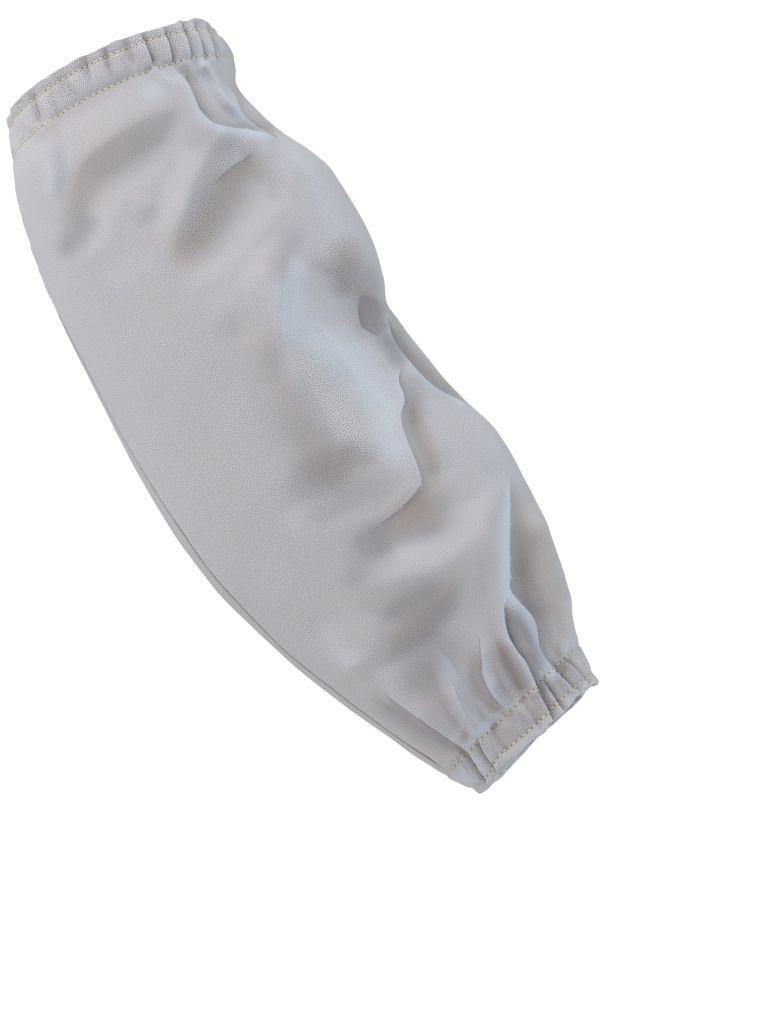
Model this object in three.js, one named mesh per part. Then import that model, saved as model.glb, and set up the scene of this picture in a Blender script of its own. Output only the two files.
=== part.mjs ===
// Split leather work sleeve in its worn form. Millimetres, +Z up.
// One gathered leather tube hangs down -Z from the middle of its upper elastic casing, the origin.
// Its face with the long front folds looks along -Y, and +X is the crook side of the elbow.
import * as THREE from 'three';
import { LoftGeometry } from 'three/addons/geometries/LoftGeometry.js';

// Driving dimensions
const LEATHER = 1.4;
const CLEARANCE = 0.3;
const CASING_HALF = 7.2;
const FRILL = 4.8;
const HEM_TAIL = 1.8;
const ELASTIC_WIDTH = 11;
const ELASTIC_THICK = 1;
const UPPER_CASING = { down: 0, towardsRim: -1, pleatHalf: 1.5, fade: 20 };
const WRIST_CASING = { down: 374, towardsRim: 1, pleatHalf: 2, fade: 30 };
const PLEATS = 14;
const CORNERS = 4 * PLEATS;
const BODY_RINGS = 25;
const SEAM_ANGLE = THREE.MathUtils.degToRad(166);
const SEAM_REACH = 5;
const SEAM_GROOVE = 0.8;
const SEAM_ALLOWANCE = 2.4;
const CHART_RADIUS = 64;

const named = (columns, rows) =>
  rows.map((row) => Object.fromEntries(columns.map((column, i) => [column, row[i]])));

// Outer form: each section is an oval at one distance down the sleeve. left and right are its edges
// in X, front and back its depths in Y, and slope tips it down towards +X, as the arm tips the cuffs.
const SECTIONS = named(['down', 'left', 'right', 'front', 'back', 'slope'], [
  [-12, -56, 57, 49, 49, 0.155],
  [0, -59, 57, 49, 49, 0.155],
  [7, -61, 57, 49, 49, 0.155],
  [20, -70, 54, 54, 52, 0.125],
  [40, -77, 53, 53, 52, 0.07],
  [60, -83, 57, 52, 52, 0.02],
  [90, -88, 69, 53, 52, 0],
  [130, -92, 68, 54, 52, 0],
  [165, -95, 57, 52, 50, 0],
  [200, -96, 59, 52, 50, 0],
  [245, -92, 68, 51, 50, 0],
  [285, -82, 66, 48, 47, 0],
  [325, -68, 57, 43, 42, -0.03],
  [350, -57, 49, 37, 36, -0.12],
  [367, -46, 45, 31, 31, -0.21],
  [374, -43, 44, 31, 31, -0.21],
  [386, -37, 44, 31, 31, -0.21],
]);

// Folds: each runs over the surface from a start through a bend to an end. Angles are degrees around
// the section: 0 at the crook edge, 90 at the front, 180 at the elbow edge, negative at the back.
// The rows go down the front from cuff to cuff, and then down the back.
const FOLDS = named(
  ['startAngle', 'startDown', 'bendAngle', 'bendDown', 'endAngle', 'endDown', 'height', 'halfWidth'], [
    [122, 31, 100, 26, 64, 23, -5, 11],
    [122, 31, 135, 45, 142, 56, -3, 10],
    [53, 16, 47, 45, 14, 63, 4, 10],
    [30, 24, 32, 40, 16, 54, -5, 12],
    [33, 62, 78, 74, 102, 89, -6, 12],
    [15, 82, 25, 112, 20, 142, 3, 20],
    [45, 94, 79, 144, 79, 196, 3, 16],
    [42, 163, 22, 166, -20, 168, -8, 12],
    [112, 214, 95, 219, 78, 222, -4, 12],
    [40, 206, 62, 240, 94, 256, -6, 11],
    [18, 222, 24, 242, 30, 260, 4, 14],
    [98, 275, 65, 282, 18, 256, 5, 11],
    [124, 312, 100, 306, 72, 297, -5, 11],
    [26, 270, 42, 293, 55, 318, 4, 10],
    [14, 284, 30, 312, 40, 336, -5, 11],
    [-60, 24, -90, 27, -120, 24, -4, 11],
    [-15, 108, -50, 120, -95, 112, -4, 13],
    [-20, 168, -45, 173, -80, 184, -6, 12],
    [-15, 214, -55, 224, -90, 216, -4, 12],
    [18, 256, -20, 262, -65, 256, -5, 12],
    [-50, 300, -90, 309, -128, 301, -4, 12],
  ]);

// A smooth curve through one column of the section table
function along(column, down) {
  const last = SECTIONS.length - 2;
  const next = SECTIONS.findIndex((row) => row.down >= down);
  const i = THREE.MathUtils.clamp(next - 1, 0, last);
  const tangent = (k) => {
    const before = SECTIONS[Math.max(k - 1, 0)];
    const after = SECTIONS[Math.min(k + 1, last + 1)];
    return (after[column] - before[column]) / (after.down - before.down);
  };
  const span = SECTIONS[i + 1].down - SECTIONS[i].down;
  const t = (down - SECTIONS[i].down) / span;
  const rise = (1 - t) * (1 - t) * (1 + 2 * t) * SECTIONS[i][column];
  const fall = t * t * (3 - 2 * t) * SECTIONS[i + 1][column];
  const lean = t * (1 - t) * ((1 - t) * tangent(i) - t * tangent(i + 1));
  return rise + fall + span * lean;
}

// The surface laid flat: across is the arc length of a mean circle, down is the distance down the sleeve.
const onChart = (degrees, down) =>
  new THREE.Vector2(THREE.MathUtils.degToRad(degrees) * CHART_RADIUS, down);

const FOLD_PATHS = FOLDS.map((fold) => {
  const start = onChart(fold.startAngle, fold.startDown);
  const end = onChart(fold.endAngle, fold.endDown);
  const pull = onChart(fold.bendAngle, fold.bendDown).multiplyScalar(2)
    .addScaledVector(start, -0.5).addScaledVector(end, -0.5);
  return new THREE.QuadraticBezierCurve(start, pull, end).getPoints(16);
});

// How far the folds push the surface out, or pull it in, at one place. The fold ends round off, because
// past an end the distance is measured to the end point.
function foldHeight(angle, down) {
  const signedAngle = angle > 1.2 * Math.PI ? angle - 2 * Math.PI : angle;
  const place = new THREE.Vector2(signedAngle * CHART_RADIUS, down);
  return FOLDS.reduce((sum, fold, i) => {
    const distance = Math.min(...FOLD_PATHS[i].map((point) => point.distanceTo(place)));
    const share = Math.max(0, 1 - (distance / fold.halfWidth) ** 2);
    return sum + fold.height * share * share;
  }, 0);
}

// Gathers: pleats at full height over each casing, fading out into the sleeve.
function pleatHeight(angle, down) {
  const wave = Math.cos(PLEATS * angle);
  return [UPPER_CASING, WRIST_CASING].reduce((sum, casing) => {
    const intoSleeve = (casing.down - down) * casing.towardsRim - CASING_HALF;
    return sum + casing.pleatHalf * wave * Math.exp(-Math.max(0, intoSleeve) / casing.fade);
  }, 0);
}

// How near a place is to the long seam: 1 on it, 0 away from it.
const seamShare = (angle) =>
  Math.max(0, 1 - Math.abs(angle - SEAM_ANGLE) * CHART_RADIUS / SEAM_REACH);

// One ring of points, at a depth under the outer surface. gathered is 1 where the layer follows the
// pleats and 0 where it lies plain, and seamed is what the seam adds to the depth.
function ring(down, depth, gathered = 1, seamed = 0) {
  const left = along('left', down);
  const right = along('right', down);
  const slope = along('slope', down);
  const half = (right - left) / 2;
  return Array.from({ length: CORNERS }, (_, i) => {
    const angle = 2 * Math.PI * i / CORNERS;
    const deep = along(Math.sin(angle) > 0 ? 'front' : 'back', down);
    const out = new THREE.Vector2(Math.cos(angle) / half, -Math.sin(angle) / deep).normalize();
    const height = gathered * pleatHeight(angle, down) + foldHeight(angle, down)
      - depth - seamed * seamShare(angle);
    const x = (left + right) / 2 + half * Math.cos(angle) + out.x * height;
    const y = -deep * Math.sin(angle) + out.y * height;
    return new THREE.Vector3(x, y, -(down + slope * x));
  });
}

// A ring at a casing, placed by its reach from the casing's middle line towards the rim.
const casingRing = (casing, reach, depth, gathered) =>
  ring(casing.down + casing.towardsRim * reach, depth, gathered);

const outerCasing = (casing) =>
  [-CASING_HALF, 0, CASING_HALF, CASING_HALF + FRILL - LEATHER / 2]
    .map((reach) => casingRing(casing, reach, 0, 1));

// The turned-in end, from the rim along the hem's inside to its raw edge, and back through the channel
// that the elastic lies in to the inside of the sleeve wall.
function turnedHem(casing) {
  const rim = CASING_HALF + FRILL;
  const elasticDepth = casing.pleatHalf + LEATHER + CLEARANCE;
  const channelFloor = elasticDepth + ELASTIC_THICK + CLEARANCE;
  const channelEnd = ELASTIC_WIDTH / 2 + CLEARANCE;
  const rawEdge = -(CASING_HALF + HEM_TAIL);
  const layers = LEATHER + CLEARANCE;
  return [
    casingRing(casing, rim, LEATHER + CLEARANCE / 2, 1),
    casingRing(casing, rim - LEATHER / 2, layers + LEATHER, 1),
    casingRing(casing, CASING_HALF + CLEARANCE, layers + LEATHER, 1),
    casingRing(casing, channelEnd + CLEARANCE, channelFloor + LEATHER, 0),
    casingRing(casing, rawEdge, channelFloor + LEATHER, 0),
    casingRing(casing, rawEdge, channelFloor, 0),
    casingRing(casing, -channelEnd, channelFloor, 0),
    casingRing(casing, channelEnd, channelFloor, 0),
    casingRing(casing, CASING_HALF, layers, 1),
    casingRing(casing, rim - LEATHER, LEATHER + CLEARANCE / 2, 1),
    casingRing(casing, CASING_HALF, LEATHER, 1),
    casingRing(casing, -CASING_HALF, LEATHER, 1),
  ];
}

function sleevePanel() {
  const first = UPPER_CASING.down + CASING_HALF;
  const length = WRIST_CASING.down - CASING_HALF - first;
  const downs = Array.from({ length: BODY_RINGS }, (_, i) => first + length * (i + 1) / (BODY_RINGS + 1));
  const outside = downs.map((down) => ring(down, 0, 1, SEAM_GROOVE));
  const inside = downs.map((down) => ring(down, LEATHER, 1, SEAM_ALLOWANCE)).reverse();
  const rings = [
    ...outerCasing(UPPER_CASING).reverse(),
    ...outside,
    ...outerCasing(WRIST_CASING),
    ...turnedHem(WRIST_CASING),
    ...inside,
    ...turnedHem(UPPER_CASING).reverse(),
  ];
  return new LoftGeometry([...rings, rings[0]], { closed: true });
}

function elasticBand(casing) {
  const outside = casing.pleatHalf + LEATHER + CLEARANCE;
  const inside = outside + ELASTIC_THICK;
  const upper = casing.down - ELASTIC_WIDTH / 2;
  const lower = casing.down + ELASTIC_WIDTH / 2;
  const rings = [[upper, outside], [lower, outside], [lower, inside], [upper, inside]]
    .map(([down, depth]) => ring(down, depth, 0));
  return new LoftGeometry([...rings, rings[0]], { closed: true });
}

const splitLeather = new THREE.MeshStandardMaterial({ color: 0xb3b1b4, roughness: 0.95, metalness: 0 });
const wovenElastic = new THREE.MeshStandardMaterial({ color: 0xe6e3da, roughness: 0.85, metalness: 0 });

const sleeve = new THREE.Group();
const pieces = [
  ['sleeve_panel', sleevePanel(), splitLeather],
  ['upper_elastic', elasticBand(UPPER_CASING), wovenElastic],
  ['wrist_elastic', elasticBand(WRIST_CASING), wovenElastic],
];
for (const [name, geometry, material] of pieces) {
  const mesh = new THREE.Mesh(geometry, material);
  mesh.name = name;
  sleeve.add(mesh);
}

export default sleeve;
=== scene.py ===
import math
import bpy
import numpy as np
from mathutils import Matrix, Vector, noise


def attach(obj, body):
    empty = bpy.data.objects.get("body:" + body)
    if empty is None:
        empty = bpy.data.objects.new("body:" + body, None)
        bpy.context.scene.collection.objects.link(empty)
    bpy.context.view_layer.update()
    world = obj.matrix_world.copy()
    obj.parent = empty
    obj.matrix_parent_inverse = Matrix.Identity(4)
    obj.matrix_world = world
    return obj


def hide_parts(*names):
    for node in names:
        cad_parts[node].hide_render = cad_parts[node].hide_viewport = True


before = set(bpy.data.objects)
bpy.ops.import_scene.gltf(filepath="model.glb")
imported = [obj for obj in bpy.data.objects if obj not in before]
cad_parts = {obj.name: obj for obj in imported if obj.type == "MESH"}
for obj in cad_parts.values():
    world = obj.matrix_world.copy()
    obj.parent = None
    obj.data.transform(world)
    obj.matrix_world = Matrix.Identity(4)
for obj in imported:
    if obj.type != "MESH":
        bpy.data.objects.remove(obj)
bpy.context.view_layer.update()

# Camera
# It looks square at the front of the sleeve, from a little under its middle, and it is rolled so that
# the sleeve slants from the upper left of the picture to the lower right.
MM = 0.001
VIEW_CENTRE = np.array([-1.3, 0.0, -249.5])
VIEW_DISTANCE = 1500.0
VIEW_HEIGHT = 512.0
LOOK_UP = math.radians(5)
ROLL = math.radians(32.5)
SENSOR = 36.0

look = np.array([0, math.cos(LOOK_UP), math.sin(LOOK_UP)])
side = np.array([1.0, 0, 0])
head = np.array([0, -math.sin(LOOK_UP), math.cos(LOOK_UP)])

camera_data = bpy.data.cameras.new("camera")
camera_data.sensor_fit = "VERTICAL"
camera_data.sensor_height = SENSOR
camera_data.lens = SENSOR * VIEW_DISTANCE / VIEW_HEIGHT
camera = bpy.data.objects.new("camera", camera_data)
bpy.context.scene.collection.objects.link(camera)
picture_right = math.cos(ROLL) * side - math.sin(ROLL) * head
picture_up = math.sin(ROLL) * side + math.cos(ROLL) * head
place = (VIEW_CENTRE - VIEW_DISTANCE * look) * MM
camera.matrix_world = Matrix([
    (picture_right[i], picture_up[i], -look[i], place[i]) for i in range(3)
] + [(0, 0, 0, 1)])
bpy.context.scene.camera = camera


def seen(points):
    """Where points in millimetres show in the front view: across from the origin, and down from it."""
    offset = points - VIEW_CENTRE
    nearness = VIEW_DISTANCE / (VIEW_DISTANCE + offset @ look)
    across = VIEW_CENTRE[0] + (offset @ side) * nearness
    down = -VIEW_CENTRE[2] - (offset @ head) * nearness
    return np.stack([across, down], -1)


# Leather panel
# One cut of grey split leather with its nap outside, wrapped into a tube and closed by one long seam on
# the elbow side. Both ends are turned in over elastic and sewn down twice, which gathers them.
LEATHER_THICK = 1.4
CASING_HALF = 7.2
FRILL = 4.8
HEM_TAIL = 4.0
RIM_REACH = CASING_HALF + FRILL
HEM_REACH = CASING_HALF + HEM_TAIL
WRIST_DOWN = 374.0
SEAM_ANGLE = math.radians(166)
SEAM_ALLOWANCE = 2.2
SEAM_ALLOWANCE_REACH = 9.0
SEAM_ALLOWANCE_BEVEL = 2.0
CASING_LIFT = 0.7
CASING_LIFT_REACH = 10.0
CASING_PUFF = 0.6
STITCH_PINCH = 0.7
STITCH_PINCH_REACH = 1.3
FRILL_FLARE = 0.7
FLARE_POWER = 1.5
GATHERS = 0.7
UPPER_GATHER_REACH = 18.0
WRIST_GATHER_REACH = 30.0
RUFFLE = 1.4
RIM_WAVE = 1.3
UPPER_RISE = 2.4
UPPER_RISE_REACH = 30.0
# Dark streaks on the casings, painted as the shade of their fine gathers.
CUFF_STREAKS = 0.5
CUFF_STREAKS_EDGES = (CASING_HALF + 4, CASING_HALF - 1)
# How much of the overlaps' painted shadow also goes into the painted grey shade.
DIM_PAINTED_SHADE_GREY = 0.45

# Rows down the sleeve, and columns round it as stretches from one angle to the next with their counts.
FRILL_ROWS = 6
CASING_ROWS = 16
BODY_ROWS = 236
INNER_BODY_STEP = 5
COLUMN_STRETCHES = ((-12, 100, 150), (100, 158, 26), (158, 174, 16), (174, 348, 94))
TYPICAL_HALF_WIDTH = 78.0
TYPICAL_DEPTH = 52.0
ARC_SAMPLES = 361
SMALL_TURN = 0.002
SMALL_STEP = 0.1

# How folds and overlaps act: which places they reach by the way these face, how far their push turns to
# the front, and how the mesh is drawn in beside an overlap.
FRONT_FACING = (-0.45, 0.05)
OVERLAP_FACING = (-0.12, 0.06)
BACK_FACING = (0.25, -0.15)
FOLD_TOWARD = 3.0
OVERLAP_TOWARD = 6.0
CHART_RADIUS = 64.0
CHART_TURN = 1.2 * math.pi
PATH_STEPS = 8
CREASE_POWER = 1.6
PALE_POWER = 3
DIM_POWER = 1.5
EDGE_BLEND = 0.15
EDGE_DRAW = 3.6
EDGE_POWER = 3.0
EDGE_FADE = 0.05
EDGE_SPREADS = (15, 30)
SOFT_PASSES = 14
WALL_ANGLE = math.radians(55)

# Lumps of the hide: height, size and seed.
LUMPS = ((0.6, 46, 1), (0.16, 19, 2), (0.06, 7, 3))
CLOUD_SHIFT = Vector((7.3, 3.1, 5.7))

# How far the wrist rim hangs down at places across the front view, and over which rows that sets in.
WRIST_RIM_DROPS = (
    (-41, 0), (-33.5, 2.2), (-27, 1.5), (-22, -2), (-17, -3.2), (-8, -1.6), (2, -0.8), (30, -1))
WRIST_RIM_ROWS = (366, 384)

# Ovals down the sleeve: edges across, depths to the front and the back, and slope down towards the crook.
SECTION_COLUMNS = ("down", "left", "right", "front", "back", "slope")
SECTIONS = np.array([
    (-12, -56, 57, 49, 49, 0.13),
    (0, -60.5, 58, 49, 49, 0.13),
    (7, -64, 57.3, 49, 49, 0.13),
    (20, -71.5, 52.2, 54, 52, 0.11),
    (40, -78, 54.3, 53, 52, 0.07),
    (60, -83, 59, 52, 52, 0.02),
    (75, -85.8, 65.4, 52.5, 52, 0.01),
    (90, -88, 69.3, 53, 52, 0),
    (130, -92, 68, 54, 52, 0),
    (150, -93.7, 63.6, 53, 51, 0),
    (165, -95, 57.6, 52, 50, 0),
    (200, -96, 59, 52, 50, 0),
    (225, -94.4, 62.3, 51.5, 50, 0),
    (245, -92, 67, 51, 50, 0),
    (285, -82, 65.5, 48, 47, 0),
    (305, -75, 60.4, 46, 45, -0.01),
    (325, -67, 55.6, 43, 42, -0.03),
    (350, -55, 49.8, 37, 36, -0.12),
    (367, -45.5, 45, 31, 31, -0.21),
    (374, -41.5, 43.5, 31, 31, -0.21),
    (386, -36, 43, 31, 31, -0.21),
])

# Folds of the front, as they show in the front view. Each runs along a path of points across and down.
# Its height falls off over the left width on its left hand and the right width on its right hand, sharp
# makes its crest a crease, and the fades round off its ends. A row gives the name, path, height, left and
# right width, sharp, and the fades at the start and the end.
FRONT_FOLDS = [
    ("puff under the upper cuff", ((-43.5, 27), (-27, 19), (-1, 19), (25, 20)), 3, 14, 12, 0, 0.3, 0.3),
    ("hollow under the puff",
     ((-71, 59), (-55, 50), (-42, 41), (-31, 34), (-11, 32), (9, 31), (26.5, 28)),
     -4.5, 14, 16, 0, 0.25, 0.3),
    ("side pleat", ((-39, -5), (-46.5, 10), (-57, 33)), 3.4, 8, 9, 0.4, 0.08, 0.4),
    ("valley beside the side pleat", ((-48, -3), (-53, 11), (-61, 27)), -1.4, 8, 8, 0.2, 0.15, 0.4),
    ("crest off the upper cuff", ((20.5, 0), (24, 10), (28, 17)), 1.8, 4, 6, 0.5, 0.15, 0.3),
    ("shelf pleat", ((44, 46), (42, 31), (43, 19), (41.5, 9)), 6, 5, 4, 0.7, 0.3, 0.15),
    ("pinch under the cuff", ((35, 6), (35.5, 11), (33, 16)), 2, 3, 3, 0.6, 0.1, 0.4),
    ("dent's brow", ((-36, 55), (-21, 52), (-3.5, 49)), 0.5, 9, 8, 0, 0.4, 0.4),
    ("dent", ((-31, 65), (-20, 64), (-8.5, 61)), -0.6, 6, 7, 0, 0.4, 0.4),
    ("slanting crest", ((42, 47), (28, 48), (13, 55), (-6, 69), (-28.5, 83)), 5, 22, 14, 0.4, 0.2, 0.35),
    ("slanting valley", ((52, 74), (30, 80), (11.5, 86), (-6, 93), (-33.5, 102)), -7, 18, 24, 0.1, 0.2, 0.5),
    ("rise to the elbow", ((-28.5, 126), (-6, 121), (19, 117), (39, 113)), 2.5, 15, 20, 0, 0.3, 0.2),
    ("elbow crest",
     ((35, 112), (24, 117), (10, 134), (0, 150), (-1, 166), (-6, 186), (-2, 204), (8, 221), (17, 244),
      (25, 266)),
     8, 36, 22, 0.35, 0.12, 0.14),
    ("facet ridge", ((20, 144), (21.5, 159), (22, 174), (25, 199), (27, 214)), 0.8, 5, 4, 0.5, 0.3, 0.3),
    ("facet ridge, short", ((38.5, 180), (39.5, 195)), 0.8, 4, 3, 0.5, 0.4, 0.3),
    ("facet hollow, short", ((45, 176), (46, 190)), -1.2, 5, 5, 0, 0.4, 0.3),
    ("bulge ridge", ((58, 74), (62, 99), (59, 121)), 1, 7, 6, 0.3, 0.3, 0.3),
    ("bulge hollow", ((53, 76), (54.5, 94), (50, 116)), -0.8, 5, 6, 0, 0.3, 0.4),
    ("pocket", ((79, 159), (58, 161), (48, 164), (37, 164)), -6, 12, 42, 0.1, 0.05, 0.35),
    ("dent beside the crest", ((-51, 220), (-15, 227), (15, 224)), -5.5, 25, 20, 0.1, 0.45, 0.45),
    ("cross ridge",
     ((-38.5, 272), (-11, 282), (9, 287), (29, 286), (41.5, 279), (54, 268)),
     9, 18, 26, 0.1, 0.35, 0.25),
    ("hollow under the elbow overlap",
     ((-31, 262), (-1, 266), (18, 266), (34, 261)),
     -5, 17, 12, 0.1, 0.3, 0.4),
    ("hollow beside the elbow overlap",
     ((27, 256), (30.5, 242), (32.5, 227), (35.5, 217), (44, 207)),
     -4, 6, 15, 0.1, 0.2, 0.3),
    ("swell above the long pleat", ((-71, 310), (-50, 305), (-33.5, 311)), 3.5, 26, 10, 0, 0.4, 0.4),
    ("lower bulge", ((58, 206), (62.5, 229), (64, 254), (61, 275)), 4, 16, 16, 0, 0.3, 0.3),
    ("rear lobe", ((63, 284), (56.5, 314), (48, 346)), 7, 14, 22, 0, 0.25, 0.2),
    ("step under the cross ridge",
     ((-50, 311), (-31, 314), (-11, 312), (6.5, 310)),
     -2.5, 16, 8, 0.4, 0.25, 0.4),
    ("long pleat",
     ((-60, 294), (-55, 311), (-49, 324), (-43.5, 339), (-38, 352), (-30.5, 368)),
     5, 16, 9, 0.4, 0.3, 0.05),
    ("middle pleat",
     ((-18.5, 316), (-17, 326), (-18.5, 339), (-21, 354), (-22.5, 369)),
     4, 4.5, 6, 0.6, 0.4, 0.05),
    ("valley beside the middle pleat", ((-13, 339), (-12, 351), (-15, 365)), -0.6, 3, 3, 0.2, 0.4, 0.05),
    ("short pleat", ((-16, 351), (-12.5, 356), (-13.5, 365)), 1.5, 3, 3, 0.5, 0.4, 0.2),
    ("front pleat", ((8, 319), (1.5, 336), (-3, 347), (-4.5, 356), (-2, 366)), 3, 5.5, 4, 0.5, 0.4, 0.05),
    ("valley beside the front pleat", ((-7, 336), (-9, 350), (-6.5, 365)), -1.2, 4, 5, 0.2, 0.4, 0.05),
    ("wrist pocket", ((12, 333), (9, 349), (8, 363)), -2, 6, 6, 0.2, 0.35, 0.1),
    ("fork strip", ((30, 328), (26, 344), (23, 361)), 1, 4, 4, 0.3, 0.3, 0.2),
    ("crook pleat at the wrist", ((49, 341), (38, 354), (33, 359)), 1.5, 4, 4, 0.4, 0.4, 0.2),
    ("cuff pleat", ((-52, -20), (-55, -10), (-59, 1)), -3, 3.2, 3.2, 0.5, 0.1, 0.3),
    ("cuff pleat", ((-44, -22), (-47, -11), (-51, 1)), -3, 3.2, 3.2, 0.5, 0.1, 0.3),
    ("cuff pleat", ((-35, -24), (-37.5, -13), (-41.5, 0)), -2.6, 3.5, 3.5, 0.5, 0.1, 0.3),
    ("cuff pleat", ((-26, -25), (-28, -13), (-30, -2)), -1.2, 4, 4, 0.3, 0.1, 0.3),
    ("cuff pleat", ((-16, -25), (-18, -13), (-19, -1)), -1.6, 4, 4, 0.3, 0.1, 0.3),
    ("cuff pleat", ((-3.5, -24), (-6, -18), (-9, -6)), -2, 3, 3, 0.4, 0.1, 0.4),
    ("cuff pleat", ((8.5, -23), (4, -15), (0, -2)), -2.2, 3.5, 3.5, 0.4, 0.1, 0.4),
    ("cuff pleat", ((17.5, -22), (14, -11), (11, 0)), -2.2, 3.2, 3.2, 0.4, 0.1, 0.3),
    ("wrist cuff pleat", ((-12.5, 365), (-13.5, 376), (-13, 388)), -1.4, 3.5, 3.5, 0.3, 0.2, 0.1),
    ("wrist cuff pleat", ((5.5, 361), (6, 374), (6.5, 387)), -1.4, 3.5, 3.5, 0.3, 0.2, 0.1),
]

# Overlaps of the front, where one layer hangs over the next. On the left hand of the path the upper layer
# rises and rolls over a lip, and on the right hand the lower layer comes out from its drop. A painted
# highlight makes the lip pale, and a painted shadow dims the lower layer beside it. A row gives the name,
# path, rise and its width, lip, roll, drop and its width, the lean of the overhang, pale, dim, and the
# fades.
OVERLAPS = [
    ("shelf edge",
     ((56, 64), (49, 58), (41.5, 51), (34, 45), (30, 40), (28, 31), (29, 24), (30.5, 15), (29, 5)),
     4, 14, 5, 1.2, 5, 12, 1.4, 1.12, 0.6, 0.1, 0.2),
    ("crest off the upper cuff",
     ((26, 14), (24, 9), (21, 1)),
     1.2, 6, 1.5, 0.4, 1.2, 5, 0.3, 0.98, 0.25, 0.35, 0.08),
    ("shelf's rear edge",
     ((54.5, 62), (48, 51), (46, 42), (48, 34), (47, 24)),
     2, 6, 3, 1, 3, 7, 0.8, 0.8, 0.6, 0.08, 0.3),
    ("pocket rim",
     ((46.5, 174), (43, 173), (40, 169), (39, 165), (40.5, 160), (44, 155), (51.5, 151)),
     0.8, 5, 1.5, 0.3, 2.6, 14, 0.5, 0.7, 0.5, 0.2, 0.3),
    ("crease under the shelf",
     ((12, 65), (26.5, 63), (42, 63)),
     0.5, 6, 1, 0, 0.6, 10, 0.1, 0, 0.9, 0.35, 0.3),
    ("long seam",
     ((-82, 50), (-84, 67), (-88, 114), (-91, 149), (-92, 179), (-91.5, 204), (-89.5, 234), (-82, 274),
      (-76, 294), (-61.5, 334), (-50, 361), (-43, 377)),
     0.8, 4, 1, 0.3, 2, 1.3, 0.3, 0.48, 1.6, 0.1, 0.03),
    ("front layer's edge",
     ((63, 229), (57.5, 219), (52.5, 207), (49.5, 191), (49, 182), (50, 175), (54.5, 166)),
     1.5, 6, 2, 0.5, 5, 9, 0.8, 1.36, 1, 0.08, 0.1),
    ("elbow overlap",
     ((-18.5, 255), (4, 252), (14, 250), (20.5, 247), (23, 243), (25, 234), (27, 224), (29, 217),
      (32, 212), (36.5, 208), (38.5, 204), (39.5, 199), (42.5, 195), (48, 193)),
     2, 8, 1.6, 0.3, 2.8, 14, 0.8, 1.12, 0.7, 0.38, 0.15),
    ("long pleat",
     ((-52, 318), (-44, 338), (-38.5, 351), (-33.5, 363), (-30.5, 372), (-29.5, 381), (-30, 392)),
     2, 10, 3, 0.6, 3, 7, 0.6, 0.99, 1, 0.28, 0.04),
    ("middle pleat",
     ((-22.5, 370), (-21, 354), (-18.5, 339), (-17, 326)),
     1.8, 5, 2, 0.4, 1.5, 5, 0.5, 0.7, 0.25, 0.1, 0.5),
    ("front pleat",
     ((7, 324), (1.5, 336), (-3.5, 346), (-4.5, 356), (-3, 366)),
     1.8, 5, 2, 0.4, 2.2, 4, 0.5, 0.7, 0.6, 0.5, 0.15),
    ("fork",
     ((14, 370), (15, 365), (17, 351), (16.5, 344), (17.5, 334), (21.5, 324), (27, 318)),
     3, 8, 3, 0.8, 4, 7, 0.8, 1.32, 0.5, 0.06, 0.25),
    ("long fold",
     ((28.5, 369), (27.5, 363), (26.5, 356), (27, 348), (30, 342), (32.5, 334), (31, 324), (30.5, 316),
      (36.5, 306), (43.5, 294), (51, 283), (57.5, 274), (63, 266)),
     5, 18, 8, 3.5, 5, 22, 1, 1.54, 0.9, 0.06, 0.16),
    ("wrist cuff pleat",
     ((-36, 369), (-34, 380), (-33.5, 392)),
     1.2, 4, 1.5, 0.5, 1.2, 3, 0.4, 1.04, 0.15, 0.2, 0.05),
    ("wrist cuff pleat",
     ((-22.5, 369), (-23, 380), (-22.5, 391)),
     1.2, 4, 1.5, 0.5, 1.4, 3, 0.4, 1.04, 0.35, 0.15, 0.05),
] + [
    ("wrist cuff pleat", path, 1.5, 4, 1.5, 0.5, 2, 4, 0.4, 1.04, 0.8, 0.05, fade_out)
    for path, fade_out in (
        (((13.5, 385), (14.5, 375), (15, 366)), 0.2),
        (((20.5, 384), (20, 371), (19.5, 361)), 0.25),
        (((32, 379), (29.5, 372), (27.5, 363)), 0.2),
        (((38.5, 378), (36, 368), (34, 358)), 0.25),
    )
] + [
    ("cuff pleat", path, 2, rise_width, lip, 0.7, 2.4, drop_width, 0.6, 0.88, 0.8, 0.1, 0.1)
    for path, rise_width, lip, drop_width in (
        (((20.5, 2), (23, -9), (24.5, -21)), 6, 2.5, 5),
        (((30, 5), (33, -4), (35.5, -14)), 6, 2.5, 5),
        (((39, 8), (41.5, -1), (44, -10)), 5, 2.5, 4.5),
        (((44, 12), (47, 1), (49, -7)), 4, 2, 4),
        (((48.5, 16), (51.5, 5), (54, -4)), 4, 2, 4),
    )
]
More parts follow.
